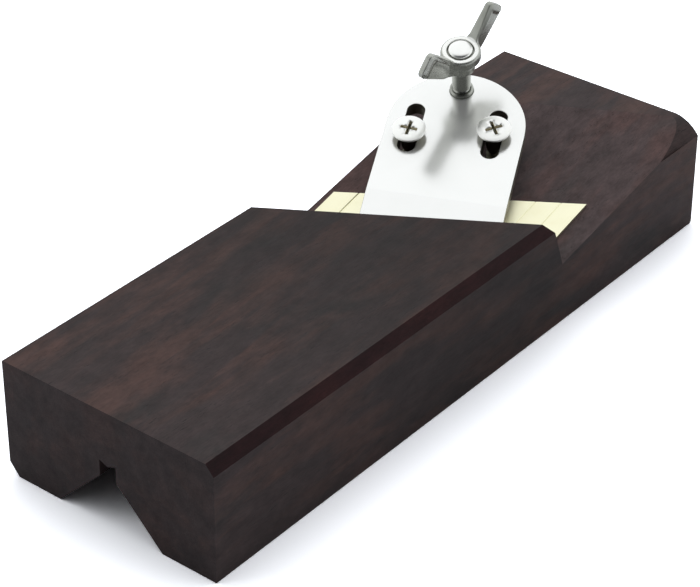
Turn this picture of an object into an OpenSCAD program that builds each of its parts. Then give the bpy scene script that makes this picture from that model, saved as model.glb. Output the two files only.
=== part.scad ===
// Hand-held chamfer plane with a grooved sole and a skewed low-angle bed.
// The origin is the middle of the sole. +X runs from the toe to the heel along the
// groove, +Y to the left of someone who looks along +X, and +Z up from the sole.
// The bed frame starts on the bed under the throat's top edge, in the middle of the
// width. Its first axis climbs the bed towards the heel and its third leaves the wood.

/* [Wooden body] */
// Length of the body along the sole, toe to heel
body_l = 154.2; // [135:0.1:175]
// Width of the body
body_w = 50; // [48:1:56]
// Height of the body
body_h = 25; // [24:0.5:28]
// Width of the bevel along the right top edge
top_bevel_w = 1.8; // [0.8:0.1:2.6]
// Height of the bevel along the right top edge
top_bevel_h = 2.1; // [0.8:0.1:3]
// Chamfer that eases the left bottom edge
bottom_ease = 2.2; // [0.8:0.1:3.5]
// Chamfer that eases the left top edge
top_ease = 0.7; // [0.3:0.1:1.5]
// Lean of the heel's end towards the toe
heel_lean = 1.5; // [0:0.1:3]
// Width of the rounding at the heel's right top corner
corner_w = 5.6; // [3:0.1:7]
// Height of the rounding at the heel's right top corner
corner_h = 3.4; // [2:0.1:4]
// Swell of the rounding over a flat bevel
corner_swell = 0.7; // [0.2:0.1:0.9]
// Length of the rounding, from the heel
corner_l = 30; // [20:1:35]

/* [Sole groove] */
// Depth of the right-angled groove in the sole, to the point where its sides would meet
groove_depth = 12.4; // [11:0.1:13.5]
// Width of the relief slot along the groove's apex
relief_w = 3.9; // [2.5:0.1:5]
// Height of the relief slot's corners above the groove's apex
relief_up = 1.6; // [1:0.1:2.5]
// How far the slot's top sags between its two corners
relief_sag = 0.8; // [0.2:0.1:0.9]

/* [Bed and throat] */
// Distance from the toe to the throat's top edge, in the middle of the width
throat_from_toe = 84.1; // [75:0.5:95]
// Height of the bed above the groove's apex, under the throat's top edge
bed_over_apex = 0.26; // [0:0.02:0.6]
// Slope of the bed
bed_slope = 13.8; // [11:0.1:17]
// Skew of the bed: the direction in which it climbs, from +X towards +Y
bed_skew = 28.5; // [20:0.5:35]
// Further skew of the blade and of the throat's front wall
blade_skew = 3.9; // [0:0.1:8]
// Lean of the throat's front wall towards the toe, from the bed's normal
wall_lean = 4; // [0:0.5:12]
// Room above the blade in the kerf under the front wall
kerf_room = 0.3; // [0.15:0.05:0.6]
// Room ahead of the fully advanced blade in the kerf
kerf_ahead = 0.8; // [0.3:0.1:1.5]
// Height of the mouth above the relief slot, where shavings rise into the throat
mouth_up = 5; // [3:0.5:7]

/* [Blade] */
// Length of the blade along its edge
blade_l = 51.4; // [40:0.2:53]
// Width of the blade, edge to back
blade_w = 23.4; // [20:0.2:26]
// Thickness of the blade
blade_t = 0.5; // [0.3:0.05:0.8]
// How far the edge stands ahead of the bed frame's origin
blade_out = 3; // [1.5:0.1:4]
// Distance from the bed frame's middle to the blade's right back corner
blade_right = 36; // [32:0.5:38]
// Angle between the blade's edge and its ends and scores
score_angle = 60; // [50:1:75]
// Pitch of the scores
score_pitch = 5.14; // [4:0.05:7]
// Depth of the scores
score_depth = 0.12; // [0.05:0.01:0.2]
// Width of the scores
score_w = 0.3; // [0.15:0.05:0.5]
// Width of the ground cutting bevel
grind_w = 1.4; // [0.8:0.1:2.5]
// Land that is left at the cutting edge
edge_land = 0.04; // [0.02:0.01:0.08]
// Travel of the blade towards the toe when it is set deeper
blade_advance = 2; // [0.5:0.1:3]

/* [Lever cap] */
// Width of the lever cap
cap_w = 28.8; // [27:0.1:32]
// Thickness of the plate
cap_t = 2.5; // [1.5:0.1:3]
// Tilt of the plate to the bed
cap_tilt = 5.5; // [4:0.1:7]
// Turn of the plate on the bed, from the bed's climb towards the left
cap_yaw = -3.4; // [-5:0.1:2]
// Distance from the bed frame's origin up the bed to the lip
lip_from_origin = 7.1; // [6.5:0.1:9]
// Offset of the lip's middle to the left
lip_side = -4.3; // [-6:0.1:-3]
// Length of the bent lip that holds the blade
lip_l = 9.5; // [7:0.5:12]
// Further bend of the lip towards the bed
lip_bend = 6; // [4:0.5:14]
// Distance from the lip to the centre of the rounded top
round_from_lip = 29; // [27:0.5:32]
// Room between the lip and the blade
lip_gap = 0.05; // [0.02:0.01:0.1]
// Width of the two slots
slot_w = 3.7; // [3.6:0.1:4.2]
// Length of the two slots, end to end
slot_l = 13.2; // [12:0.1:15]
// Distance between the two slots
slot_spread = 17.1; // [16.5:0.1:18.5]
// How far the two slots together sit left of the plate's middle
slot_side = 0.3; // [0:0.1:0.6]
// How far the left slot's middle lies below the rounded top's centre
left_slot_down = 2.1; // [1:0.1:3]
// How far the right slot's middle lies below the rounded top's centre
right_slot_down = 1; // [0.5:0.1:2]

/* [Screws] */
// Diameter of the screw shanks
screw_d = 3.4; // [3:0.1:3.5]
// Diameter of the screw heads
head_d = 7; // [6:0.1:7.4]
// Height of the rim round the heads
head_rim = 0.35; // [0.2:0.05:0.6]
// Height of the slightly domed top of the heads
head_dome = 0.2; // [0.1:0.05:1]
// Length of the screws in the wood
screw_bite = 9; // [7:0.5:10]
// Length of the screws' points
screw_point = 2.2; // [1.5:0.1:3]
// Room round the shanks in the wood
pilot_gap = 0.05; // [0.02:0.01:0.1]
// How far the left screw lies below the rounded top's centre
left_screw_down = 4.2; // [3:0.1:5]
// How far the right screw lies below the rounded top's centre
right_screw_down = 1.2; // [0.5:0.1:3]
// Width across the cross recess
cross_l = 3.6; // [2.8:0.1:4]
// Turn of the left screw's recess
left_cross_turn = -5; // [-45:1:45]
// Turn of the right screw's recess
right_cross_turn = 30; // [-45:1:45]
// Width of one arm of the cross recess
cross_w = 0.7; // [0.5:0.05:0.9]
// Depth of the cross recess
cross_depth = 1.1; // [0.6:0.1:1.4]

/* [Wing screw] */
// Diameter of the stud
stud_d = 3.9; // [3.5:0.1:4.2]
// Distance from the rounded top's centre up the plate to the stud
stud_up = 9.8; // [9:0.1:10.5]
// Distance of the stud from the plate's middle, to the left
stud_side = 0.7; // [0:0.1:1]
// Room round the stud in its threaded bush, on each side
stud_gap = 0.08; // [0.02:0.01:0.1]
// Room between the stud's foot and the bed
foot_gap = 0.25; // [0.15:0.05:0.4]
// Diameter of the bush above the plate
bush_d = 4.9; // [4.8:0.1:6]
// Height of the bush above the plate
bush_up = 0.9; // [0.5:0.1:2.2]
// Diameter of the bush's flange under the plate
flange_d = 6.8; // [6.4:0.1:8]
// Thickness of the bush's flange
flange_t = 0.8; // [0.5:0.1:1.2]
// Height of the hub's foot above the plate
hub_from_plate = 6.8; // [6:0.1:9]
// Height of the hub
hub_h = 5.4; // [4.6:0.1:6]
// Diameter of the hub's top
hub_d = 8.4; // [7.8:0.1:9]
// Diameter of the hub's foot
hub_foot_d = 5.9; // [5.2:0.1:6.2]
// Height of the hub's foot, below the flare
hub_foot_h = 1.7; // [0.8:0.1:2]
// Height of the straight band at the hub's top
hub_band = 2; // [1.4:0.1:2.4]
// Diameter of the stud's button on top of the hub
button_d = 5; // [4.6:0.1:5.4]
// Reach of the wings from the hub's axis
wing_reach = 12.6; // [10:0.1:13.5]
// Height of the wings' tips above the hub's foot
wing_rise = 11.5; // [9:0.1:12.5]
// Thickness of the wings
wing_t = 1.5; // [1:0.1:2]
// Diameter of the bead round the wings' outer ends
wing_bead = 2.3; // [1.8:0.1:2.8]
// Turn of the wings on the hub when the cap is tight
wing_turn = -28.5; // [-60:0.5:0]

/* [Hidden] */
$fn = 64;
// Overlap that keeps a cut clear of the face that it starts from
over = 1;
// Room round a pressed piece in its hole
press_gap = 0.02;
// Room between the screw heads' cones and the slots' upper edges
head_gap = 0.04;

toe_x = -body_l / 2;
bed_z = groove_depth + bed_over_apex;
throat_depth = body_h - bed_z;
// The front wall's foot and head, measured along the bed from the frame's origin
wall_head = throat_depth * sin(bed_slope) * cos(blade_skew);
wall_foot = wall_head + throat_depth * cos(bed_slope) * tan(wall_lean);
reach = body_l + body_w;

// Blade, in the bed frame turned to the edge
edge_u = -blade_out;
back_u = blade_w - blade_out;
end_slant = 1 / tan(score_angle);
blade_left = blade_l - blade_right;
kerf_end_u = edge_u - blade_advance - kerf_ahead;
// Room beside the fully advanced blade's right end in the kerf
kerf_side = 0.4;

// Lever cap, in its own frame: the origin is the lip's lower edge
lip_drop = lip_l * sin(lip_bend);
bend_u = lip_l * cos(lip_bend);
plate_top = lip_drop + cap_t;
stud_u = round_from_lip + stud_up;
slot_r = slot_w / 2;
// Height of the bed in the cap frame at a distance u from the lip
function bed_in_cap(u) = -(blade_t + lip_gap + u * sin(cap_tilt)) / cos(cap_tilt);

hub_foot = plate_top + hub_from_plate;
hub_top = hub_foot + hub_h;
button_sink = 0.8;
button_up = 0.5;
bush_bore = stud_d + 2 * stud_gap;

// Frames
module in_bed_frame() {
    translate([toe_x + throat_from_toe, 0, bed_z])
        rotate([0, 0, bed_skew])
            rotate([0, -bed_slope, 0])
                children();
}

module in_blade_frame() {
    in_bed_frame() rotate([0, 0, blade_skew]) children();
}

module in_cap_frame() {
    in_bed_frame()
        translate([lip_from_origin, lip_side, blade_t + lip_gap])
            rotate([0, 0, cap_yaw])
                rotate([0, -cap_tilt, 0])
                    children();
}

// Places children on a screw's axis, with z = 0 on the plate's top face
module on_screw(side, down) {
    in_cap_frame()
        translate([round_from_lip - down, slot_side + side * slot_spread / 2, plate_top])
            children();
}

// Places children on the stud's axis, with z = 0 at the cap frame's height
module on_stud() {
    in_cap_frame() translate([stud_u, stud_side, 0]) children();
}

// Wooden body
module body_section() {
    half = body_w / 2;
    relief_y = relief_w / 2;
    relief_top = groove_depth + relief_up;
    polygon([
        [-half, 0],
        [-groove_depth, 0],
        [-relief_y, groove_depth - relief_y],
        [-relief_y, relief_top],
        [0, relief_top - relief_sag],
        [relief_y, relief_top],
        [relief_y, groove_depth - relief_y],
        [groove_depth, 0],
        [half - bottom_ease, 0],
        [half, bottom_ease * 1.2],
        [half, body_h - top_ease],
        [half - top_ease, body_h],
        [-half + top_bevel_w, body_h],
        [-half, body_h - top_bevel_h]
    ]);
}

module throat_cut() {
    top = body_h + body_w;
    in_blade_frame()
        rotate([90, 0, 0])
            linear_extrude(height = 2 * reach, center = true)
                polygon([
                    [wall_foot, 0],
                    [reach, 0],
                    [reach, top],
                    [wall_foot - top * tan(wall_lean), top]
                ]);
}

// The kerf carries the bed on under the front wall, and runs out on the left side
module blade_kerf() {
    far_back = back_u - blade_advance;
    right_at = function (u) (far_back - u) * end_slant - blade_right - kerf_side;
    start = wall_foot + over;
    in_blade_frame()
        linear_extrude(height = blade_t + kerf_room)
            polygon([
                [kerf_end_u, right_at(kerf_end_u)],
                [start, right_at(start)],
                [start, body_w],
                [kerf_end_u, body_w]
            ]);
}

// The mouth joins the relief slot to the throat just ahead of the edge
module mouth_cut() {
    back = (wall_foot + over) / cos(bed_skew + blade_skew);
    front = kerf_end_u / cos(bed_skew + blade_skew);
    translate([toe_x + throat_from_toe + front, -relief_w / 2, groove_depth])
        cube([back - front, relief_w, relief_up + mouth_up]);
}

// The rounded corner starts on the bed, where it shows as a triangle. Its arc runs
// through the two points that the width and the height give, and swells between them.
module corner_cut() {
    across = [corner_w, corner_h];
    corner_r = across * across / (8 * corner_swell) + corner_swell / 2;
    inwards = [corner_h, -corner_w] / norm(across);
    centre = [corner_w / 2, -corner_h / 2] + (corner_r - corner_swell) * inwards;
    translate([body_l / 2 - corner_l, -body_w / 2, body_h])
        rotate([90, 0, 90])
            linear_extrude(height = corner_l + over)
                difference() {
                    translate([-over, centre[1]])
                        square([centre[0] + over, over - centre[1]]);
                    translate(centre) circle(r = corner_r);
                }
}

module heel_cut() {
    translate([body_l / 2, -body_w, 0])
        rotate([0, -heel_lean, 0])
            translate([0, 0, -body_h])
                cube([body_w, 2 * body_w, 3 * body_h]);
}

module pilot_hole(side, down) {
    depth = -bed_in_cap(round_from_lip - down) + plate_top + screw_bite;
    on_screw(side, down)
        translate([0, 0, -depth - pilot_gap])
            cylinder(h = depth, d = screw_d + 2 * pilot_gap);
}

module wooden_body() {
    color([0.16, 0.12, 0.11])
        difference() {
            translate([toe_x, 0, 0])
                rotate([90, 0, 90])
                    linear_extrude(height = body_l + over) body_section();
            heel_cut();
            throat_cut();
            blade_kerf();
            mouth_cut();
            corner_cut();
            pilot_hole(1, left_screw_down);
            pilot_hole(-1, right_screw_down);
        }
}

// Blade
module blade_outline() {
    polygon([
        [edge_u, -blade_right + blade_w * end_slant],
        [back_u, -blade_right],
        [back_u, blade_left],
        [edge_u, blade_left + blade_w * end_slant]
    ]);
}

module blade() {
    scores = floor((blade_l - score_w) / score_pitch);
    color([0.93, 0.91, 0.8])
        in_blade_frame()
            difference() {
                linear_extrude(height = blade_t) blade_outline();
                translate([edge_u, 0, blade_t])
                    rotate([90, 0, 0])
                        linear_extrude(height = 2 * reach, center = true)
                            polygon([
                                [-over, 0],
                                [grind_w, 0],
                                [0, edge_land - blade_t],
                                [-over, edge_land - blade_t]
                            ]);
                for (i = [1 : scores])
                    translate([back_u, -blade_right + i * score_pitch, blade_t])
                        rotate([0, 90, score_angle - 90])
                            linear_extrude(height = 3 * blade_w, center = true)
                                polygon([
                                    [-score_depth, -score_w],
                                    [-score_depth, score_w],
                                    [score_depth, 0]
                                ]);
            }
}

// Lever cap
module cap_slot(side, down) {
    run = slot_l - slot_w;
    translate([round_from_lip - down, slot_side + side * slot_spread / 2, lip_drop - over])
        linear_extrude(height = cap_t + 2 * over) {
            for (end = [-1, 1])
                translate([end * run / 2, 0]) circle(r = slot_r);
            square([run, slot_w], center = true);
        }
}

module lever_cap() {
    color([0.82, 0.83, 0.82])
        in_cap_frame()
            difference() {
                union() {
                    translate([0, 0, lip_drop])
                        linear_extrude(height = cap_t) {
                            translate([round_from_lip, 0]) circle(d = cap_w, $fn = 128);
                            translate([bend_u, -cap_w / 2])
                                square([round_from_lip - bend_u, cap_w]);
                        }
                    rotate([90, 0, 0])
                        linear_extrude(height = cap_w, center = true)
                            polygon([
                                [0, 0],
                                [bend_u, lip_drop],
                                [bend_u, plate_top],
                                [bend_u - cap_t * tan(lip_bend / 2), plate_top],
                                [-cap_t * sin(lip_bend), cap_t * cos(lip_bend)]
                            ]);
                }
                cap_slot(1, left_slot_down);
                cap_slot(-1, right_slot_down);
                translate([stud_u, stud_side, lip_drop - over])
                    cylinder(h = cap_t + 2 * over, d = bush_d + 2 * press_gap);
            }
}

// Threaded bush, pressed into the plate from below
module threaded_bush() {
    color([0.75, 0.76, 0.74])
        on_stud()
            rotate_extrude()
                polygon([
                    [bush_bore / 2, lip_drop - flange_t],
                    [flange_d / 2, lip_drop - flange_t],
                    [flange_d / 2, lip_drop - press_gap],
                    [bush_d / 2, lip_drop - press_gap],
                    [bush_d / 2, plate_top + bush_up - 0.2],
                    [bush_d / 2 - 0.2, plate_top + bush_up],
                    [bush_bore / 2, plate_top + bush_up]
                ]);
}

// Screws with countersunk heads, which ride on the slots' upper edges
module cap_screw(side, down, cross_turn) {
    shank_r = screw_d / 2;
    head_r = head_d / 2;
    cone_foot = shank_r - slot_r + head_gap;
    cone_top = cone_foot + head_r - shank_r;
    rim_top = cone_top + head_rim;
    dome_r = (head_r * head_r + head_dome * head_dome) / (2 * head_dome);
    tip = bed_in_cap(round_from_lip - down) - plate_top - screw_bite;
    color([0.86, 0.86, 0.84])
        on_screw(side, down)
            difference() {
                rotate_extrude() {
                    polygon([
                        [0, tip],
                        [shank_r, tip + screw_point],
                        [shank_r, cone_foot],
                        [head_r, cone_top],
                        [head_r, rim_top],
                        [0, rim_top]
                    ]);
                    intersection() {
                        translate([0, rim_top + head_dome - dome_r]) circle(r = dome_r);
                        translate([0, rim_top]) square([head_r, head_dome + over]);
                    }
                }
                for (arm = [0, 90])
                    rotate([0, 0, arm + cross_turn])
                        translate([0, 0, rim_top + head_dome - cross_depth / 2 + over])
                            cube([cross_l, cross_w, cross_depth + 2 * over], center = true);
            }
}

module left_screw() {
    cap_screw(1, left_screw_down, left_cross_turn);
}

module right_screw() {
    cap_screw(-1, right_screw_down, right_cross_turn);
}

// Stud that presses on the bed and lifts the back of the lever cap
module clamp_stud() {
    r = stud_d / 2;
    foot = bed_in_cap(stud_u) + foot_gap;
    foot_ease = 0.8;
    button_r = button_d / 2;
    shoulder = hub_top - button_sink;
    color([0.74, 0.75, 0.73])
        on_stud()
            rotate_extrude()
                polygon([
                    [0, foot],
                    [r - foot_ease, foot],
                    [r, foot + foot_ease],
                    [r, shoulder],
                    [button_r, shoulder],
                    [button_r, hub_top + button_up / 2],
                    [button_r * 0.7, hub_top + button_up * 0.85],
                    [0, hub_top + button_up]
                ]);
}

// Wing head: a tapered hub with two leaning wings that end in a round bead. The flat of
// a wing ends inside the bead, and the bead is a trace wider at its two ends.
wing_edge_r = wing_bead * 0.35;
bead_swell = 0.03;

// Point where a line from p touches the flat's circle round c, on the given side
function touch(p, c, side) =
    let (
        away = p - c,
        turn = atan2(away[1], away[0]) + side * acos(wing_edge_r / norm(away))
    )
    c + wing_edge_r * [cos(turn), sin(turn)];

module wing() {
    low_root = [hub_foot_d / 2 - 0.4, hub_foot_h / 2];
    belly = [wing_reach / 2, wing_rise * 0.19];
    high_root = [hub_d / 2 - 1, hub_h - 0.15];
    low_tip = [wing_reach - wing_bead / 2, wing_rise * 0.7];
    high_tip = [wing_reach * 0.735, wing_rise - wing_bead / 2];
    run = high_tip - low_tip;
    out = wing_edge_r * [run[1], -run[0]] / norm(run);
    rotate([90, 0, 0]) {
        linear_extrude(height = wing_t, center = true)
            polygon([
                low_root,
                belly,
                touch(belly, low_tip, 1),
                low_tip + out,
                high_tip + out,
                touch(high_root, high_tip, -1),
                high_root
            ]);
        for (tip = [low_tip, high_tip]) translate(tip) sphere(d = wing_bead + bead_swell);
        translate(low_tip)
            rotate([0, 90, atan2(run[1], run[0])])
                cylinder(h = norm(run), d = wing_bead);
    }
}

module wing_head() {
    bore_r = bush_bore / 2;
    top_ease = 0.5;
    well_r = button_d / 2 + 0.35;
    well = button_sink + stud_gap;
    color([0.66, 0.67, 0.66])
        on_stud()
            translate([0, 0, hub_foot])
                rotate([0, 0, wing_turn])
                    difference() {
                        union() {
                            rotate_extrude()
                                polygon([
                                    [0, 0],
                                    [hub_foot_d / 2 - 0.3, 0],
                                    [hub_foot_d / 2, 0.3],
                                    [hub_foot_d / 2, hub_foot_h],
                                    [hub_d / 2, hub_h - hub_band],
                                    [hub_d / 2, hub_h - top_ease],
                                    [hub_d / 2 - top_ease, hub_h],
                                    [0, hub_h]
                                ]);
                            for (side = [0, 180]) rotate([0, 0, side]) wing();
                        }
                        translate([0, 0, -over]) cylinder(h = hub_h + 2 * over, r = bore_r);
                        translate([0, 0, hub_h - well]) cylinder(h = well + over, r = well_r);
                    }
}

wooden_body();
blade();
lever_cap();
threaded_bush();
left_screw();
right_screw();
clamp_stud();
wing_head();
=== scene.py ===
"""Chamfer plane: dark wooden stock, polished lever cap, bright screws and a cast wing head."""

import math

import bmesh
import bpy
from mathutils import Matrix, Vector


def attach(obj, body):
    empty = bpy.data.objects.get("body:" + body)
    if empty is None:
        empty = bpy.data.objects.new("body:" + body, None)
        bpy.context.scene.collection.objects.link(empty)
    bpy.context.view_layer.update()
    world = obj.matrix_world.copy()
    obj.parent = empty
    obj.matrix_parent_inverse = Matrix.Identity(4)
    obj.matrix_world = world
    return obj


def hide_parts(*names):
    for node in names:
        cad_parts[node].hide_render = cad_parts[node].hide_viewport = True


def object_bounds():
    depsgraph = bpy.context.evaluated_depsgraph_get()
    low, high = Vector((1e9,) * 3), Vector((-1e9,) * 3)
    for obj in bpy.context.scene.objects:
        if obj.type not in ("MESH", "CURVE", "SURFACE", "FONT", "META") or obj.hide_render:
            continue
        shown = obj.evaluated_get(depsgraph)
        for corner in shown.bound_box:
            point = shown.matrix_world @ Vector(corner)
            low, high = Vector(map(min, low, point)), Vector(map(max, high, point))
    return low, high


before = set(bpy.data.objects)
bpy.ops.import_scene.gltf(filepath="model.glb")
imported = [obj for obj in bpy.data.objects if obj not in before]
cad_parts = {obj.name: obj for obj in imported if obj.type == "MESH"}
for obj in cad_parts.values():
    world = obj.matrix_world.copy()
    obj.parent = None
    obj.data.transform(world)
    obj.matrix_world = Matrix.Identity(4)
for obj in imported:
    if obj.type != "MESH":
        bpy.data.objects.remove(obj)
cad_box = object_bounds()

MM = 0.001

# Stock: its heel end, left side and top, in millimetres
HEEL_END = cad_box[1][0] / MM
STOCK_SIDE = 25.0
STOCK_TOP = 25.0

# Bed and lever cap, as the part's source turns them, in millimetres and degrees
BED_START = (7.0, 0, 12.66)
BED_SKEW = 28.5
BED_SLOPE = 13.8
LIP_AT = (7.1, -4.3, 0.55)
CAP_YAW = -3.4
CAP_TILT = -5.5
PLATE_THICKNESS = 2.5
LIP_LENGTH = 9.5
LIP_BEND = 6
LIP_DROP = LIP_LENGTH * math.sin(math.radians(LIP_BEND))
PLATE_TOP = LIP_DROP + PLATE_THICKNESS

# Slots, screws and stud on the plate
SLOTS_AT = ((26.9, 8.85), (28.0, -8.25))
SLOT_WIDTH = 3.7
SLOT_LENGTH = 13.2
LEFT_SCREW_AT = (24.8, 8.85)
RIGHT_SCREW_AT = (27.8, -8.25)
STUD_AT = (38.8, 0.7)

# Wing head: the hub's foot over the plate, and one wing in its own X-Z plane from that foot
HUB_UP = 6.8
HUB_HEIGHT = 5.4
HUB_TOP_RADIUS = 3.75
WING_TURN = -28.5
WING_ROOT = Vector((2.5, 0.85))
WING_BELLY = Vector((6.3, 2.2))
WING_SHOULDER = Vector((3.2, 5.1))
WING_LOW = Vector((11.45, 8.05))
WING_HIGH = Vector((9.26, 10.35))
BEAD_RADIUS = 1.1


def turn(angle, axis):
    """Turn about an axis by an angle in degrees."""
    return Matrix.Rotation(math.radians(angle), 4, axis)


def shift(place):
    """Shift to a place in millimetres."""
    return Matrix.Translation(Vector(place) * MM)


bed_frame = shift(BED_START) @ turn(BED_SKEW, "Z") @ turn(-BED_SLOPE, "Y")
cap_frame = bed_frame @ shift(LIP_AT) @ turn(CAP_YAW, "Z") @ turn(CAP_TILT, "Y")


def on_plate(place, turned=0):
    """Frame on the plate's top face, with Z along the screws and the stud."""
    return cap_frame @ shift((*place, PLATE_TOP)) @ turn(turned, "Z")


# Camera at the photograph's place
CAMERA_AT = (-318.12, -243.72, 272.35)
CAMERA_TURN = (56.829, -0.457, -51.454)
CAMERA_LENS = 125.27
CAMERA_SENSOR = 36


def add_camera():
    """Camera that sees the plane as the photograph does."""
    data = bpy.data.cameras.new("camera")
    made = bpy.data.objects.new("camera", data)
    bpy.context.scene.collection.objects.link(made)
    bpy.context.scene.camera = made
    data.sensor_width = CAMERA_SENSOR
    data.lens = CAMERA_LENS
    data.clip_start = 0.01
    data.clip_end = 20
    made.location = Vector(CAMERA_AT) * MM
    made.rotation_euler = [math.radians(angle) for angle in CAMERA_TURN]
    return made


camera = add_camera()


# Node helpers
class Tree:
    """Short hand for the nodes of one material or node group."""

    def __init__(self, tree):
        self.tree = tree

    def add(self, kind, settings=(), **inputs):
        """A new node, with inputs given by name or, as i0, i1 and so on, by number."""
        node = self.tree.nodes.new(kind)
        for key, value in dict(settings).items():
            setattr(node, key, value)
        for key, value in inputs.items():
            self.feed(node, key.replace("_", " "), value)
        return node

    def feed(self, node, key, value):
        """Links a socket to a node's input, or sets the input to a plain value."""
        numbered = key[0] == "i" and key[1:].isdigit()
        socket = node.inputs[int(key[1:])] if numbered else node.inputs[key]
        if isinstance(value, bpy.types.NodeSocket):
            self.tree.links.new(value, socket)
        else:
            socket.default_value = value

    def math(self, operation, a, b):
        """One operation on two values or sockets."""
        return self.add("ShaderNodeMath", {"operation": operation}, i0=a, i1=b).outputs[0]

    def times(self, a, b):
        """The product, which joins two masks."""
        return self.math("MULTIPLY", a, b)

    def mix(self, factor, a, b):
        """Colour a where the factor is 0 and colour b where it is 1."""
        node = self.add("ShaderNodeMix", {"data_type": "RGBA"}, i0=factor, i6=a, i7=b)
        return node.outputs[2]

    def scaled(self, vector, factor):
        """A vector or a colour times one factor."""
        node = self.add("ShaderNodeVectorMath", {"operation": "SCALE"}, i0=vector, Scale=factor)
        return node.outputs[0]

    def span(self, value, low, high, to_low=0.0, to_high=1.0):
        """Maps low to high onto to_low to to_high and stays within them."""
        node = self.add("ShaderNodeMapRange", {"clamp": True}, i0=value, i1=low, i2=high,
                        i3=to_low, i4=to_high)
        return node.outputs[0]

    def object_place(self):
        """Object coordinates, in metres."""
        return self.add("ShaderNodeTexCoord").outputs["Object"]

    def place(self, scale, rotation=(0, 0, 0), location=(0, 0, 0)):
        """Object coordinates times a scale in features per metre: 1000 counts millimetres."""
        node = self.add("ShaderNodeMapping", i0=self.object_place(), Location=location,
                        Rotation=rotation, Scale=scale)
        return node.outputs[0]

    def noise(self, vector, detail=3.0, roughness=0.5, distortion=0.0):
        """Soft noise from about 0.2 to 0.8 with one feature per unit."""
        node = self.add("ShaderNodeTexNoise", i0=vector, Scale=1.0, Detail=detail,
                        Roughness=roughness, Distortion=distortion)
        return node.outputs["Fac"]

    def axes(self, vector):
        """X, Y and Z of a vector."""
        return self.add("ShaderNodeSeparateXYZ", i0=vector).outputs


FLOAT = "NodeSocketFloat"
COLOUR = "NodeSocketColor"


def group(name, inputs, outputs):
    """An empty node group with named sockets, as (tree helper, given sockets, output node)."""
    tree = bpy.data.node_groups.new(name, "ShaderNodeTree")
    for title, kind, value in inputs:
        socket = tree.interface.new_socket(title, in_out="INPUT", socket_type=kind)
        socket.default_value = value
    for title, kind in outputs:
        tree.interface.new_socket(title, in_out="OUTPUT", socket_type=kind)
    kit = Tree(tree)
    return kit, kit.add("NodeGroupInput").outputs, kit.add("NodeGroupOutput")


def use_group(kit, tree, **inputs):
    """Places a node group in a material and returns its outputs."""
    return kit.add("ShaderNodeGroup", {"node_tree": tree}, **inputs).outputs


def material(name):
    """A new material with its tree helper and its Principled BSDF."""
    made = bpy.data.materials.new(name)
    made.use_nodes = True
    return made, Tree(made.node_tree), made.node_tree.nodes["Principled BSDF"]


# Wood figure: scales in features per metre, longer along the grain, which runs along X
WARP_SCALE = (12, 60, 60)
STREAK_SCALE = (30, 150, 150)
PATCH_SCALE = (34, 80, 80)
CLOUD_SCALE = (40, 110, 110)
MOTTLE_SCALE = (190, 330, 330)
THREAD_SCALE = (90, 1300, 1300)
FIBRE_SCALE = (400, 3400, 3400)
PORE_SCALE = (420, 3600, 3600)
PORE_FIELD_SCALE = (90, 700, 700)
FUZZ_SCALE = (700, 4200, 4200)
PORE_COLOUR = (0.006, 0.0045, 0.0045, 1)
# Painted shade: the stock is darker along a stretch that sets in and ends between these places along X,
# in millimetres
SHADE_STRETCH_FROM = (-68, -8)
SHADE_STRETCH_TO = (22, 48)


def wood_tone(kit, given):
    """Ground colour with cool grey patches and red streaks that wander along the grain."""
    warp = kit.noise(kit.place(WARP_SCALE), detail=2)
    bend = kit.add("ShaderNodeCombineXYZ", Y=kit.times(warp, 2.5), Z=kit.times(warp, 1.5))
    bent = kit.add("ShaderNodeVectorMath", {"operation": "ADD"}, i0=kit.place(STREAK_SCALE),
                   i1=bend.outputs[0])
    broad = kit.noise(bent.outputs[0], detail=4, roughness=0.6)
    patch = kit.noise(kit.place(PATCH_SCALE, location=(4, 2, 7)), detail=3, roughness=0.6)
    cloud = kit.noise(kit.place(CLOUD_SCALE, location=(1, 5, 3)), detail=4, roughness=0.6)
    red = kit.times(kit.span(broad, 0.44, 0.6), kit.span(patch, 0.36, 0.52))
    cool = kit.times(kit.span(cloud, 0.5, 0.68), kit.span(patch, 0.62, 0.42))
    toned = kit.mix(kit.times(cool, 0.8), given["Ground"], given["Cool"])
    return kit.mix(kit.times(red, given["Streak Strength"]), toned, given["Streak"])


def wood_shade(kit, given, thread, fibre):
    """Lighter and darker fibres and mottling, with painted shade that darkens a stretch along the stock.
    """
    fibres = kit.times(kit.span(thread, 0.28, 0.72, 0.88, 1.12), kit.span(fibre, 0.28, 0.72, 0.88, 1.12))
    mottle = kit.noise(kit.place(MOTTLE_SCALE, location=(6, 2, 2)), detail=5, roughness=0.75)
    mottled = kit.times(fibres, kit.span(mottle, 0.3, 0.7, 0.68, 1.32))
    along = kit.axes(kit.place((1000, 1000, 1000)))["X"]
    # Painted shade: the wood darkens along a stretch of the stock.
    stretch = kit.times(kit.span(along, *SHADE_STRETCH_FROM), kit.span(along, SHADE_STRETCH_TO[1], SHADE_STRETCH_TO[0]))
    darkened = kit.math("SUBTRACT", 1.0, kit.times(stretch, given["Dark Stretch"]))
    return kit.times(mottled, darkened)


def wood_pore(kit, given):
    """Short pores along the grain, gathered in some places."""
    cells = kit.add("ShaderNodeTexVoronoi", {"feature": "F1"}, i0=kit.place(PORE_SCALE),
                    Scale=1.0, Randomness=1.0).outputs["Distance"]
    gathered = kit.span(kit.noise(kit.place(PORE_FIELD_SCALE, location=(9, 1, 2))), 0.48, 0.6)
    return kit.times(kit.times(kit.span(cells, 0.3, 0.16), gathered), given["Pores"])


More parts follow.
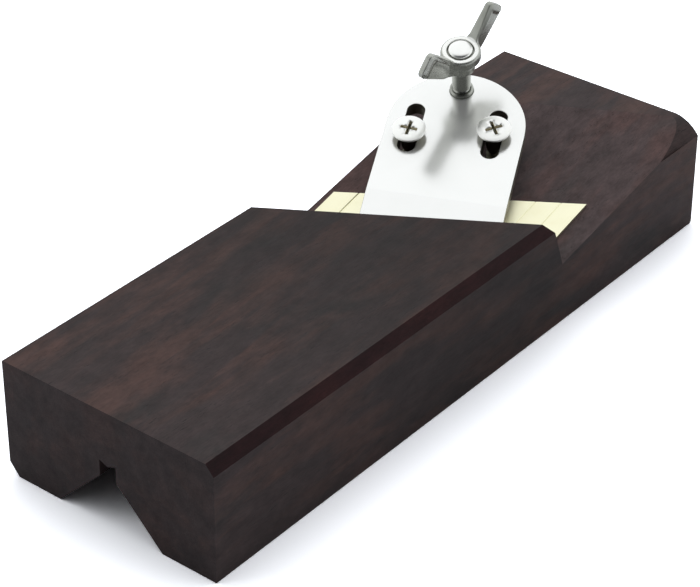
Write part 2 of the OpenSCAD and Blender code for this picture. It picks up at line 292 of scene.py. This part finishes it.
def build_wood_figure():
    """Red streaks, grey patches, fibres and pores of a dark wood whose grain runs along X."""
    kit, given, result = group(
        "wood_figure",
        [("Ground", COLOUR, (0.026, 0.019, 0.019, 1)),
         ("Streak", COLOUR, (0.06, 0.024, 0.018, 1)),
         ("Cool", COLOUR, (0.017, 0.018, 0.02, 1)),
         ("Streak Strength", FLOAT, 0.6),
         ("Pores", FLOAT, 0.5),
         ("Fuzz", FLOAT, 0.2),
         ("Dark Stretch", FLOAT, 0.2)],
        [("Color", COLOUR), ("Roughness", FLOAT), ("Height", FLOAT)])
    thread = kit.noise(kit.place(THREAD_SCALE, location=(2, 8, 1)), detail=3, roughness=0.65)
    fibre = kit.noise(kit.place(FIBRE_SCALE), detail=2, roughness=0.6)
    fuzz = kit.noise(kit.place(FUZZ_SCALE, location=(3, 3, 3)), detail=3, roughness=0.7)
    fuzz = kit.times(fuzz, given["Fuzz"])
    pore = wood_pore(kit, given)
    shaded = kit.scaled(wood_tone(kit, given), wood_shade(kit, given, thread, fibre))
    height = kit.math("ADD", kit.times(kit.math("ADD", fibre, thread), 0.3), fuzz)
    kit.feed(result, "Color", kit.mix(pore, shaded, PORE_COLOUR))
    kit.feed(result, "Roughness", kit.math("ADD", kit.span(thread, 0.3, 0.7, 0.46, 0.58), fuzz))
    kit.feed(result, "Height", kit.math("SUBTRACT", height, pore))
    return kit.tree


wood_figure = build_wood_figure()


def wood(name, ground, streak, cool, streak_strength, pores, fuzz, relief, dark_stretch=0.0, sheen=0.16):
    """A wood surface from its colours and from how strong each mark is."""
    made, kit, shader = material(name)
    figure = use_group(kit, wood_figure, Ground=(*ground, 1), Streak=(*streak, 1), Cool=(*cool, 1),
                       Streak_Strength=streak_strength, Pores=pores, Fuzz=fuzz, Dark_Stretch=dark_stretch)
    bump = kit.add("ShaderNodeBump", Strength=relief, Distance=0.12 * MM, Height=figure["Height"])
    kit.feed(shader, "Base Color", figure["Color"])
    kit.feed(shader, "Roughness", figure["Roughness"])
    kit.feed(shader, "Specular IOR Level", sheen)
    kit.feed(shader, "Normal", bump.outputs[0])
    return made


def planed_wood():
    """Smooth planed top and sides."""
    # The planed faces get painted shade along a stretch of the stock.
    return wood("planed_dark_wood", ground=(0.037, 0.0255, 0.0255), streak=(0.073, 0.038, 0.0315),
                cool=(0.023, 0.0215, 0.0215), streak_strength=0.8, pores=0.6, fuzz=0.06, relief=0.35,
                dark_stretch=0.4)


def sawn_wood():
    """Paler and rougher bed under the blade."""
    return wood("sawn_bed_wood", ground=(0.078, 0.0565, 0.0565), streak=(0.105, 0.06, 0.055),
                cool=(0.05, 0.045, 0.044), streak_strength=0.7, pores=0.5, fuzz=0.3, relief=0.9)


def end_wood():
    """End grain at the toe, the heel and the heel's cut corner."""
    return wood("end_grain_wood", ground=(0.0345, 0.025, 0.0255), streak=(0.05, 0.029, 0.027),
                cool=(0.026, 0.0215, 0.0225), streak_strength=0.6, pores=0.7, fuzz=0.15, relief=0.5)


def cut_wood():
    """Dark reddish bevels, groove and throat."""
    return wood("cut_bevel_wood", ground=(0.019, 0.0065, 0.0075), streak=(0.032, 0.0105, 0.0105),
                cool=(0.01, 0.0055, 0.006), streak_strength=0.6, pores=0.4, fuzz=0.08, relief=0.4,
                sheen=0.09)


# Metal: scratches in features per metre, turned off the axes, and broad smears
SCUFF_SCALE = (900, 5200, 2400)
SCUFF_TURN = (0.3, 0.2, 0.5)
SMEAR_SCALE = (130, 130, 130)


def build_metal_scuffs():
    """Fine scuffs and faint smears of handled metal, as two values from 0 to 1."""
    kit, given, result = group("metal_scuffs", [("Scuff Scale", FLOAT, 1.0)],
                               [("Scuff", FLOAT), ("Smear", FLOAT)])
    sized = kit.scaled(kit.place(SCUFF_SCALE, rotation=SCUFF_TURN), given["Scuff Scale"])
    smear = kit.noise(kit.place(SMEAR_SCALE), detail=3, roughness=0.55, distortion=0.6)
    kit.feed(result, "Scuff", kit.noise(sized, detail=4, roughness=0.6))
    kit.feed(result, "Smear", smear)
    return kit.tree


metal_scuffs = build_metal_scuffs()


def open_metal(name, tint, smear_tint, smooth, rough, scuff_scale, relief, metallic=1.0):
    """A scuffed metal as (material, tree helper, shader), for finishes that add to it."""
    made, kit, shader = material(name)
    scuffs = use_group(kit, metal_scuffs, Scuff_Scale=scuff_scale)
    smear = kit.span(scuffs["Smear"], 0.42, 0.7)
    wear = kit.times(kit.math("ADD", scuffs["Scuff"], scuffs["Smear"]), 0.5)
    bump = kit.add("ShaderNodeBump", Strength=relief, Distance=0.04 * MM, Height=scuffs["Scuff"])
    kit.feed(shader, "Metallic", metallic)
    kit.feed(shader, "Base Color", kit.mix(smear, (*tint, 1), (*smear_tint, 1)))
    kit.feed(shader, "Roughness", kit.span(wear, 0.35, 0.65, smooth, rough))
    kit.feed(shader, "Normal", bump.outputs[0])
    return made, kit, shader


def metal(name, **finish):
    """A scuffed metal that needs no more than its finish."""
    return open_metal(name, **finish)[0]


def blade_metal():
    """Pale cream ground steel."""
    return metal("cream_ground_steel", tint=(0.95, 0.925, 0.68), smear_tint=(0.93, 0.9, 0.64),
                 smooth=0.3, rough=0.42, scuff_scale=0.7, relief=0.1)


def plate_metal():
    """Polished face of the lever cap."""
    return metal("satin_polished_steel", tint=(0.98, 0.985, 0.965), smear_tint=(0.965, 0.972, 0.95),
                 smooth=0.17, rough=0.2, scuff_scale=0.6, relief=0.0015, metallic=0.72)


def sheared_edge_and_shade_metal():
    """Dull sheared edges and slot walls of the lever cap, partly real dullness and partly painted shade
    that darkens the slots.
    """
    return metal("sheared_edge_and_painted_shade_steel", tint=(0.3, 0.29, 0.24), smear_tint=(0.2, 0.19, 0.15),
                 smooth=0.4, rough=0.55, scuff_scale=1.0, relief=0.2)


def screw_metal():
    """Bright plated screw heads."""
    return metal("bright_plated_steel", tint=(0.95, 0.955, 0.925), smear_tint=(0.92, 0.925, 0.88),
                 smooth=0.3, rough=0.38, scuff_scale=1.2, relief=0.03)


def recess_metal():
    """Grimy bottom of the cross recess."""
    return metal("grimy_recess_steel", tint=(0.78, 0.73, 0.57), smear_tint=(0.52, 0.46, 0.32),
                 smooth=0.45, rough=0.6, scuff_scale=1.2, relief=0.2)


def shank_painted_shade_metal():
    """Painted shade: dark screw shanks and the cones under the heads, standing for the shade in the
    slots.
    """
    return metal("shank_painted_shade_steel", tint=(0.13, 0.125, 0.09), smear_tint=(0.08, 0.075, 0.05),
                 smooth=0.35, rough=0.5, scuff_scale=1.2, relief=0.1)


def stud_metal():
    """Grey plating of the stud and the bush."""
    return metal("plated_stud_steel", tint=(0.38, 0.39, 0.355), smear_tint=(0.3, 0.305, 0.275),
                 smooth=0.18, rough=0.28, scuff_scale=1.0, relief=0.05)


def button_metal():
    """Bright button end of the stud."""
    return metal("bright_button_steel", tint=(0.96, 0.965, 0.94), smear_tint=(0.92, 0.925, 0.89),
                 smooth=0.25, rough=0.35, scuff_scale=1.0, relief=0.04)


def in_wing_frame(kit):
    """X, Y and Z in millimetres in the wing head's own frame on the plate."""
    here = on_plate(STUD_AT, WING_TURN)
    local = kit.add("ShaderNodeMapping", {"vector_type": "TEXTURE"}, i0=kit.object_place(),
                    Location=here.translation, Rotation=here.to_euler(), Scale=(MM, MM, MM))
    return kit.axes(local.outputs[0])


def hub_top_mask(kit, axis):
    """1 on the hub's turned top face, with a short fade at its rim."""
    fade = 0.1
    flat = kit.add("ShaderNodeCombineXYZ", X=axis["X"], Y=axis["Y"]).outputs[0]
    radius = kit.add("ShaderNodeVectorMath", {"operation": "LENGTH"}, i0=flat).outputs["Value"]
    top = HUB_UP + HUB_HEIGHT
    return kit.times(kit.span(axis["Z"], top - 0.45, top - 0.2),
                     kit.span(radius, HUB_TOP_RADIUS + fade, HUB_TOP_RADIUS - fade))


def bead_painted_shade_mask(kit, axis):
    """Painted shade along the inner side of the bead at the tip of the wing on the -X side."""
    along = (WING_LOW - WING_HIGH).normalized()
    inward = Vector((along.y, -along.x))
    reach = kit.math("ADD", kit.times(axis["X"], -inward.x), kit.times(axis["Z"], inward.y))
    behind = kit.math("SUBTRACT", reach, inward.dot(WING_LOW + Vector((0, HUB_UP))))
    near_side = (-0.1, 0.2)
    far_side = (1.5, 1.2)
    past_hub = (-3, -5)
    under_rim = (17.0, 16.2)
    line = kit.times(kit.span(behind, *near_side), kit.span(behind, *far_side))
    on_one_wing = kit.times(line, kit.span(axis["X"], *past_hub, 0, 0.9))
    return kit.times(on_one_wing, kit.span(axis["Z"], *under_rim))


def cast_metal():
    """Dull casting with a bright turned hub top and painted shade along one wing's bead."""
    made, kit, shader = open_metal(
        "cast_wing_zinc", tint=(0.47, 0.48, 0.44), smear_tint=(0.33, 0.34, 0.3), smooth=0.22, rough=0.36,
        scuff_scale=1.0, relief=0.2, metallic=0.78)
    painted_shade_colour = (0.05, 0.05, 0.03, 1)
    bright_colour = (0.96, 0.965, 0.93, 1)
    axis = in_wing_frame(kit)
    plain = shader.inputs["Base Color"].links[0].from_socket
    # Painted shade: a dark line along the inner side of one wing's bead.
    bead_shaded = kit.mix(bead_painted_shade_mask(kit, axis), plain, painted_shade_colour)
    kit.feed(shader, "Base Color", kit.mix(hub_top_mask(kit, axis), bead_shaded, bright_colour))
    return made


# Mesh helpers
def merged_copy(node):
    """The CAD node's mesh as one bmesh with large flat faces."""
    bm = bmesh.new()
    bm.from_mesh(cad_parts[node].data)
    bmesh.ops.remove_doubles(bm, verts=bm.verts, dist=0.002 * MM)
    bmesh.ops.dissolve_limit(bm, angle_limit=math.radians(0.6), verts=bm.verts, edges=bm.edges)
    return bm


def round_edges(bm, edges, width, segments=3):
    """Rounds the edges to a width in millimetres."""
    bmesh.ops.bevel(bm, geom=edges, offset=width * MM, offset_type="OFFSET", segments=segments,
                    profile=0.5, affect="EDGES", clamp_overlap=True, material=-1)


def lathe(bm, profile, steps=64):
    """Turns a closed or axis-to-axis profile of (radius, height) in millimetres round Z."""
    points = [bm.verts.new((r * MM, 0, z * MM)) for r, z in profile]
    edges = [bm.edges.new(pair) for pair in zip(points, points[1:])]
    if profile[0][0] > 0:
        edges.append(bm.edges.new((points[-1], points[0])))
    bmesh.ops.spin(bm, geom=points + edges, cent=(0, 0, 0), axis=(0, 0, 1), dvec=(0, 0, 0),
                   angle=math.tau, steps=steps, use_merge=True, use_normal_flip=False,
                   use_duplicate=False)
    bmesh.ops.remove_doubles(bm, verts=bm.verts, dist=0.001 * MM)


def fade_ridge(verts, core_r, tip_r, low, high, pitch):
    """Draws a thread's crest in to the core over half a turn at its lower and upper end."""
    for vert in verts:
        radius = math.hypot(vert.co.x, vert.co.y)
        if radius > (core_r + tip_r) / 2 * MM:
            left = min(vert.co.z / MM - low, high - vert.co.z / MM)
            fade = min(1, max(0, left / pitch * 2))
            kept = (core_r + (tip_r - core_r) * fade) * MM / radius
            vert.co.x *= kept
            vert.co.y *= kept


def wind_ridge(bm, core_r, tip_r, pitch, low, high):
    """A screw thread's ridge round Z, which fades into the core at both ends."""
    steps_a_turn = 24
    half = 0.42 * pitch
    rise = high - low - 2 * half
    turns = rise / pitch
    section = ((core_r, low), (tip_r, low + half), (core_r, low + 2 * half))
    corners = [bm.verts.new((r * MM, 0, z * MM)) for r, z in section]
    edges = [bm.edges.new(pair) for pair in zip(corners, corners[1:])]
    count = round(turns * steps_a_turn)
    before = set(bm.verts) - set(corners)
    bmesh.ops.spin(bm, geom=corners + edges, cent=(0, 0, 0), axis=(0, 0, 1),
                   dvec=(0, 0, rise * MM / count), angle=math.tau * turns, steps=count,
                   use_merge=False, use_duplicate=False)
    fade_ridge(set(bm.verts) - before, core_r, tip_r, low + half, high - half, pitch)


def add_piece(name, node, body, bm, materials, place=Matrix.Identity(4), smooth=None):
    """Makes the piece that stands for a CAD node and lets it ride on its body.

    With an angle in degrees for smooth, edges turned by less are shaded round.
    """
    bmesh.ops.transform(bm, matrix=place, verts=bm.verts)
    if smooth is not None:
        bmesh.ops.recalc_face_normals(bm, faces=bm.faces)
    mesh = bpy.data.meshes.new(name)
    bm.to_mesh(mesh)
    bm.free()
    piece = bpy.data.objects.new(name, mesh)
    bpy.context.scene.collection.objects.link(piece)
    for made in materials:
        mesh.materials.append(made)
    if smooth is not None:
        mesh.shade_smooth()
        mesh.set_sharp_from_angle(angle=math.radians(smooth))
    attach(piece, body)
    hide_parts(node)
    return piece


# Wooden stock: its four surfaces, in the order of its materials
PLANED, SAWN, END_GRAIN, CUT = range(4)
# How nearly a face's normal lies along an axis that it faces
FACING = 0.98
# Places along X past which the heel's cut corner, its foot and its end corner lie
HEEL_CUT_FROM = HEEL_END - 22.1
HEEL_FOOT_FROM = HEEL_END - 7.1
HEEL_CORNER_FROM = HEEL_END - 2.1
# The CAD stock's eased left top edge, and the finer arris that it is drawn in to
EASED_EDGE = 0.7
LEFT_ARRIS = 0.12
# Wear on the heel's far left corner and its foot, and how far every outer edge is broken
CORNER_WEAR = 0.8
FOOT_WEAR = 0.7
BROKEN_EDGE = 0.12


def surface_of(face):
    """Which of the four wood surfaces a face of the stock has."""
    normal = face.normal
    middle = face.calc_center_median()
    bed_up = bed_frame.to_3x3() @ Vector((0, 0, 1))
    heel_corner = middle.x > HEEL_CUT_FROM * MM and 0.1 < normal.z < FACING
    square_on = max(abs(normal.y), abs(normal.z)) > FACING
    if normal.dot(bed_up) > 0.9995:
        return SAWN
    if abs(normal.x) > FACING or heel_corner:
        return END_GRAIN
    if square_on and middle.z > 0 and abs(normal.x) < 0.1:
        return PLANED
    return CUT


def sharpen_left_edge(bm):
    """Draws the eased left top edge in to a fine arris, along the edges that run up to it."""
    near = 0.01 * MM
    side_and_top = (0, STOCK_SIDE * MM, STOCK_TOP * MM)
    moves = []
    for across, up in ((1, 2), (2, 1)):
        eased_line = side_and_top[across] - EASED_EDGE * MM
        for vert in bm.verts:
            on_face = abs(vert.co[up] - side_and_top[up]) < near
            if not on_face or abs(vert.co[across] - eased_line) > near:
                continue
            runs = [vert.co - edge.other_vert(vert).co for edge in vert.link_edges]
            level = [run for run in runs if abs(run[up]) < 2 * near and run[across] > 0.1 * MM]
            moves += [(vert, run * ((EASED_EDGE - LEFT_ARRIS) * MM / run[across])) for run in level[:1]]
    for vert, move in moves:
        vert.co += move


def is_far_left_corner(edge):
    """The upright edge between the heel's end and the left side."""
    at_corner = all(vert.co.x > HEEL_CORNER_FROM * MM and vert.co.y > (STOCK_SIDE - 0.1) * MM
                    for vert in edge.verts)
    return at_corner and edge.calc_length() > 10 * MM


def is_heel_foot(edge):
    """The sole's edge under the heel's end."""
    low = all(vert.co.x > HEEL_FOOT_FROM * MM and vert.co.z < 0.1 * MM for vert in edge.verts)
    return low and len(edge.link_faces) == 2 and any(face.normal.x > 0.9 for face in edge.link_faces)


def is_outer_edge(edge):
    """An outward edge that a hand touches, so not in the relief slot over the groove."""
    least_angle = math.radians(15)
    least_length = 2.5 * MM
    slot_side = 3 * MM
    slot_top = 20 * MM
    if len(edge.link_faces) != 2 or not edge.is_convex:
        return False
    if edge.calc_face_angle() < least_angle or edge.calc_length() < least_length:
        return False
    middle = (edge.verts[0].co + edge.verts[1].co) / 2
    return abs(middle.y) >= slot_side or middle.z >= slot_top


def add_wooden_stock():
    """Wooden block with a worn heel, broken edges, a paler sawn bed and dark cut bevels."""
    bm = merged_copy("wooden_body")
    sharpen_left_edge(bm)
    round_edges(bm, [edge for edge in bm.edges if is_far_left_corner(edge)], CORNER_WEAR, segments=5)
    round_edges(bm, [edge for edge in bm.edges if is_heel_foot(edge)], FOOT_WEAR, segments=4)
    for face in bm.faces:
        face.material_index = surface_of(face)
    round_edges(bm, [edge for edge in bm.edges if is_outer_edge(edge)], BROKEN_EDGE)
    add_piece("wooden_stock", "wooden_body", "stock", bm,
              [planed_wood(), sawn_wood(), end_wood(), cut_wood()])


# Lever cap: its face and its edges, in the order of its materials
POLISHED, SHEARED_AND_SHADED = range(2)
PLATE_EDGE = 0.15


def slot_ring(bm, here, radius, height):
    """Closed loop of edges round a slot, with its round ends at the given radius."""
    half_turn_steps = 16
    to_end = (SLOT_LENGTH - SLOT_WIDTH) / 2
    ring = []
    for end, start in ((1, -math.pi / 2), (-1, math.pi / 2)):
        for step in range(half_turn_steps + 1):
            angle = start + math.pi * step / half_turn_steps
            place = Vector((radius * math.cos(angle) + to_end * end, radius * math.sin(angle), height))
            ring.append(bm.verts.new(here @ (place * MM)))
    return [bm.edges.new(pair) for pair in zip(ring, ring[1:] + ring[:1])]


def add_slot_burr(bm, here):
    """Burr that the punch leaves round a slot on the plate's underside; dark and hanging below the plate,
    it is also painted shade that hides the floor seen through the slot.
    """
    wall, above, below = 0.35, 0.15, 0.6
    radius = SLOT_WIDTH / 2
    section = ((radius, above), (radius, -below), (radius + wall * 0.6, -below), (radius + wall, 0),
               (radius + wall, above))
    rings = [slot_ring(bm, here, *corner) for corner in section]
    faces = []
    for ring, following in zip(rings, rings[1:] + rings[:1]):
        faces += bmesh.ops.bridge_loops(bm, edges=ring + following)["faces"]
    bmesh.ops.recalc_face_normals(bm, faces=faces)
    for face in faces:
        face.material_index = SHEARED_AND_SHADED


def add_lever_plate():
    """Polished plate with broken edges, dark edges and slot walls that are partly painted shade, and a
    burr under each slot.
    """
    bm = merged_copy("lever_cap")
    plate_up = cap_frame.to_3x3() @ Vector((0, 0, 1))
    # Edges and slot walls take the dark edge material, which is partly painted shade.
    for face in bm.faces:
        face.material_index = SHEARED_AND_SHADED if abs(face.normal.dot(plate_up)) < 0.5 else POLISHED
    sharp = [edge for edge in bm.edges if len(edge.link_faces) == 2 and edge.is_convex
             and edge.calc_face_angle() > math.radians(50)]
    round_edges(bm, sharp, PLATE_EDGE)
    # Each slot's dark burr also serves as painted shade under the slot.
    for place in SLOTS_AT:
        add_slot_burr(bm, cap_frame @ shift((*place, LIP_DROP)))
    add_piece("lever_plate", "lever_cap", "lever", bm, [plate_metal(), sheared_edge_and_shade_metal()])


# Cap screws: head, recess and shank, in the order of their materials, with heights over the plate
HEAD, RECESS, SHANK = range(3)
HEAD_FROM = -2.6
HEAD_EDGE = 0.1
SHANK_TO = 1.6
RECESS_TO = 2.14
RECESS_RADIUS = 1.95
SHANK_CORE = 1.25
SHANK_RADIUS = 1.7
SCREW_PITCH = 1.3
LEFT_SCREW_TIP = -15.43
RIGHT_SCREW_TIP = -15.72


def screw_surface(face):
    """Which of the three screw surfaces a face of the CAD screw's upper part has."""
    middle = face.calc_center_median() / MM
    if middle.z < SHANK_TO:
        return SHANK
    if middle.z < RECESS_TO and middle.xy.length < RECESS_RADIUS:
        return RECESS
    return HEAD


def is_head_rim(edge):
    """The outer edges of a screw's head."""
    if len(edge.link_faces) != 2 or edge.calc_face_angle() < math.radians(50):
        return False
    return edge.verts[0].co.xy.length > 3 * MM and edge.verts[1].co.z > 1.2 * MM


def add_screw_shank(bm, tip):
    """Turned shank from the head down to its point, with a wood screw's thread."""
    lathe(bm, [(0, HEAD_FROM + 0.3), (SHANK_RADIUS, HEAD_FROM + 0.3), (SHANK_RADIUS, HEAD_FROM - 0.4),
               (SHANK_CORE, HEAD_FROM - 0.9), (SHANK_CORE, tip + 2.6), (0.7, tip + 1.0), (0.02, tip),
               (0, tip)], steps=40)
    wind_ridge(bm, SHANK_CORE, SHANK_RADIUS, SCREW_PITCH, tip + 1.6, HEAD_FROM - 0.5)


def add_cap_screw(node, name, place, tip, materials):
    """Keeps the CAD head with its cross recess and gives the shank a turned thread."""
    here = on_plate(place)
    bm = merged_copy(node)
    bmesh.ops.transform(bm, matrix=here.inverted(), verts=bm.verts)
    bmesh.ops.bisect_plane(bm, geom=bm.verts[:] + bm.edges[:] + bm.faces[:],
                           plane_co=(0, 0, HEAD_FROM * MM), plane_no=(0, 0, 1), clear_inner=True)
    round_edges(bm, [edge for edge in bm.edges if is_head_rim(edge)], HEAD_EDGE)
    for face in bm.faces:
        face.material_index = screw_surface(face)
    head = set(bm.faces)
    add_screw_shank(bm, tip)
    for face in set(bm.faces) - head:
        face.material_index = SHANK
    add_piece(name, node, "stock", bm, materials, place=here, smooth=35)


def add_cap_screws():
    """The two wood screws through the plate's slots, alike apart from their length."""
    # The shanks and the cones under the heads are painted dark as shade.
    materials = [screw_metal(), recess_metal(), shank_painted_shade_metal()]
    add_cap_screw("left_screw", "left_cap_screw", LEFT_SCREW_AT, LEFT_SCREW_TIP, materials)
    add_cap_screw("right_screw", "right_cap_screw", RIGHT_SCREW_AT, RIGHT_SCREW_TIP, materials)


# Stud: heights over the plate
STUD_FOOT = -7.53
STUD_SHOULDER = 11.4
STUD_TOP = 12.7
STUD_CORE = 1.68
STUD_RADIUS = 1.95
BUTTON_RADIUS = 2.5
STUD_PITCH = 0.7


def stud_profile():
    """Half outline of the stud: turned foot, thread's core, stem, and button with an eased rim."""
    foot, top, button = STUD_FOOT, STUD_TOP, BUTTON_RADIUS
    below = [(0, foot), (1.15, foot), (1.5, foot + 0.15), (STUD_CORE, foot + 0.7), (STUD_CORE, 1.3),
             (STUD_RADIUS, 1.6), (STUD_RADIUS, STUD_SHOULDER)]
    head = [(button - 0.05, STUD_SHOULDER), (button, STUD_SHOULDER + 0.05), (button, top - 0.55),
            (button - 0.05, top - 0.36), (button - 0.2, top - 0.2), (button - 0.5, top - 0.09),
            (button - 1.1, top - 0.03), (0, top)]
    return below + head


def add_threaded_stud(plating):
    """Stud with a rounded button, a fine thread through the bush and a turned foot."""
    bm = bmesh.new()
    lathe(bm, stud_profile())
    for face in bm.faces:
        on_button = face.calc_center_median().z > (STUD_SHOULDER - 0.02) * MM
        face.material_index = 1 if on_button else 0
    wind_ridge(bm, STUD_CORE, STUD_RADIUS, STUD_PITCH, STUD_FOOT + 0.9, 1.7)
    add_piece("threaded_stud", "clamp_stud", "stud", bm, [plating, button_metal()],
              place=on_plate(STUD_AT), smooth=30)


# Cast wing head: rods that thicken the wings' rims, and the web between them
TIP_ROD = 1.08
RIM_ROD = 1.05
RIM_ROD_FROM_SHOULDER = 1.2
WEB_THIN = 1.3
WEB_AT_HUB = 3.4
# The web is thin past the first distance from the hub's axis and thickest under the second
WEB_THIN_FROM = 5.2
WEB_THICK_TO = 3.0


def touch_angle(point, centre, side):
    """Angle on a tip's round at which the straight run from a point touches it."""
    away = point - centre
    return math.atan2(away.y, away.x) + side * math.acos(BEAD_RADIUS / away.length)


def wing_outline():
    """Outline of one wing: straight belly and upper edge, and a round at each end of its tip."""
    steps = 8
    outward = math.atan2(WING_LOW.x - WING_HIGH.x, WING_HIGH.y - WING_LOW.y)
    rounds = ((WING_LOW, touch_angle(WING_BELLY, WING_LOW, 1), outward),
              (WING_HIGH, outward, touch_angle(WING_SHOULDER, WING_HIGH, -1)))
    outline = [WING_ROOT, WING_ROOT.lerp(WING_BELLY, 0.6), WING_BELLY]
    for centre, start, stop in rounds:
        sweep = (stop - start) % math.tau
        for step in range(steps + 1):
            angle = start + sweep * step / steps
            outline.append(centre + Vector((math.cos(angle), math.sin(angle))) * BEAD_RADIUS)
    return outline + [outline[-1].lerp(WING_SHOULDER, 0.8), WING_SHOULDER]


def add_web(bm):
    """The wing's web, thin at the tip and thicker towards the hub. Returns its vertices."""
    corners = [bm.verts.new((point.x * MM, 0, point.y * MM)) for point in wing_outline()]
    grown = bmesh.ops.extrude_face_region(bm, geom=[bm.faces.new(corners)])["geom"]
    grown = [item for item in grown if isinstance(item, bmesh.types.BMVert)]
    for verts, side in ((corners, -1), (grown, 1)):
        for vert in verts:
            inward = (WEB_THIN_FROM - vert.co.x / MM) / (WEB_THIN_FROM - WEB_THICK_TO)
            near_hub = min(1, max(0, inward))
            vert.co.y = side * (WEB_THIN + (WEB_AT_HUB - WEB_THIN) * near_hub) / 2 * MM
    return corners + grown


def add_rod(bm, start, stop, radius):
    """A round rod between two points of the wing's plane. Returns its vertices."""
    lean = math.atan2(stop.x - start.x, stop.y - start.y)
    middle = (start + stop) / 2
    rod = bmesh.ops.create_cone(bm, cap_ends=True, segments=32, radius1=radius * MM,
                                radius2=radius * MM, depth=(stop - start).length * MM,
                                matrix=shift((middle.x, 0, middle.y)) @ Matrix.Rotation(lean, 4, "Y"))
    return rod["verts"]


def add_wing(bm, place):
    """One wing with round beads along its tip and its upper edge."""
    upper = (WING_HIGH - WING_SHOULDER).normalized()
    inward = Vector((upper.y, -upper.x))
    parts = add_web(bm)
    parts += add_rod(bm, WING_LOW, WING_HIGH, TIP_ROD)
    parts += add_rod(bm, WING_SHOULDER + inward * RIM_ROD + upper * RIM_ROD_FROM_SHOULDER,
                     WING_HIGH - inward * (BEAD_RADIUS - RIM_ROD), RIM_ROD)
    for end in (WING_LOW, WING_HIGH):
        ball = bmesh.ops.create_uvsphere(bm, u_segments=24, v_segments=16, radius=TIP_ROD * MM,
                                         matrix=shift((end.x, 0, end.y)))
        parts += ball["verts"]
    bmesh.ops.transform(bm, matrix=place, verts=parts)


def hub_profile():
    """Closed section of the hub: tapered outside, bore for the stem, well for the button."""
    bore, well, well_floor = 2.03, 2.85, 4.52
    outside = [(bore, 0), (2.65, 0), (2.95, 0.3), (2.95, 1.7), (4.2, 3.4), (4.2, 4.95), (4.05, 5.25),
               (HUB_TOP_RADIUS, HUB_HEIGHT)]
    return outside + [(well, HUB_HEIGHT), (well, well_floor), (bore, well_floor)]


def add_cast_wing_head():
    """Wing head with the soft outline and fillets of a casting."""
    bm = bmesh.new()
    lathe(bm, hub_profile())
    for side in (0, 180):
        add_wing(bm, turn(side, "Z"))
    here = on_plate(STUD_AT, WING_TURN) @ shift((0, 0, HUB_UP))
    piece = add_piece("cast_wing_head", "wing_head", "wing", bm, [cast_metal()],
                      place=here, smooth=60)
    casting = piece.modifiers.new("casting", "REMESH")
    casting.mode = "VOXEL"
    casting.voxel_size = 0.1 * MM
    casting.use_smooth_shade = True
    easing = piece.modifiers.new("easing", "SMOOTH")
    easing.factor = 0.5
    easing.iterations = 20


def dress_cad_node(node, made):
    """Gives a CAD node that stays as it is its own material."""
    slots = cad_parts[node].data.materials
    slots.clear()
    slots.append(made)


stud_plating = stud_metal()
add_wooden_stock()
add_lever_plate()
add_cap_screws()
add_threaded_stud(stud_plating)
add_cast_wing_head()
dress_cad_node("blade", blade_metal())
dress_cad_node("threaded_bush", stud_plating)


# Floor, studio and lamps, in metres
FLOOR_SIZE = 6
FLOOR_PALE = (0.83, 0.84, 0.87, 1)
FLOOR_PALER = (0.85, 0.86, 0.89, 1)
# How much brighter the camera sees the floor than the plane does
FLOOR_SEEN = 1.4
TENT_COLOUR = (0.97, 0.985, 1, 1)
TENT_STRENGTH = 1.09
# The tent's opening round the camera: its strength, and the cosines at which it starts and is full
OPENING_STRENGTH = 0.05
OPENING_EDGE = (0.48, 0.82)
BACKGROUND_STRENGTH = 1.03


def floor_paper():
    """Pale paper that the camera sees brighter, so that it ends in white and keeps the shadow."""
    made, kit, shader = material("pale_floor")
    fibres = kit.noise(kit.place((40, 40, 40)), detail=2)
    seen = kit.add("ShaderNodeLightPath").outputs["Is Camera Ray"]
    paper = kit.mix(fibres, FLOOR_PALE, FLOOR_PALER)
    lit = kit.scaled(paper, kit.math("ADD", 1.0, kit.times(seen, FLOOR_SEEN)))
    cloth = kit.add("ShaderNodeBsdfDiffuse", Color=lit)
    kit.feed(made.node_tree.nodes["Material Output"], "Surface", cloth.outputs[0])
    made.node_tree.nodes.remove(shader)
    return made


def add_floor():
    """Flat floor far beyond the picture."""
    bm = bmesh.new()
    bmesh.ops.create_grid(bm, x_segments=1, y_segments=1, size=FLOOR_SIZE)
    mesh = bpy.data.meshes.new("floor")
    bm.to_mesh(mesh)
    bm.free()
    mesh.materials.append(floor_paper())
    floor = bpy.data.objects.new("floor", mesh)
    bpy.context.scene.collection.objects.link(floor)


def set_world():
    """A white tent that is open, and so darker, where the camera looks in."""
    world = bpy.data.worlds.new("studio")
    bpy.context.scene.world = world
    world.use_nodes = True
    kit = Tree(world.node_tree)
    back = world.node_tree.nodes["Background"]
    way = kit.add("ShaderNodeTexCoord").outputs["Generated"]
    towards = kit.add("ShaderNodeVectorMath", {"operation": "DOT_PRODUCT"}, i0=way,
                      i1=camera.location.normalized()).outputs["Value"]
    tent = kit.span(towards, *OPENING_EDGE, TENT_STRENGTH, OPENING_STRENGTH)
    seen = kit.add("ShaderNodeLightPath").outputs["Is Camera Ray"]
    kit.feed(back, "Color", TENT_COLOUR)
    kit.feed(back, "Strength", kit.math("MAXIMUM", tent, kit.times(seen, BACKGROUND_STRENGTH)))


def add_lamp(name, place, width, depth, power):
    """A soft lamp that faces the middle of the plane, with places and sizes in metres."""
    data = bpy.data.lights.new(name, "AREA")
    data.shape = "RECTANGLE"
    data.size = width
    data.size_y = depth
    data.energy = power
    lamp = bpy.data.objects.new(name, data)
    bpy.context.scene.collection.objects.link(lamp)
    lamp.location = place
    lamp.visible_glossy = False
    lamp.rotation_euler = (-Vector(place)).to_track_quat("-Z", "Y").to_euler()


add_floor()
set_world()
add_lamp("top_box", place=(0.15, 0.2, 0.9), width=1.1, depth=0.9, power=2)
add_lamp("left_box", place=(-0.3, 0.9, 0.45), width=0.8, depth=0.6, power=0.6)

bpy.context.scene.view_settings.view_transform = "Standard"
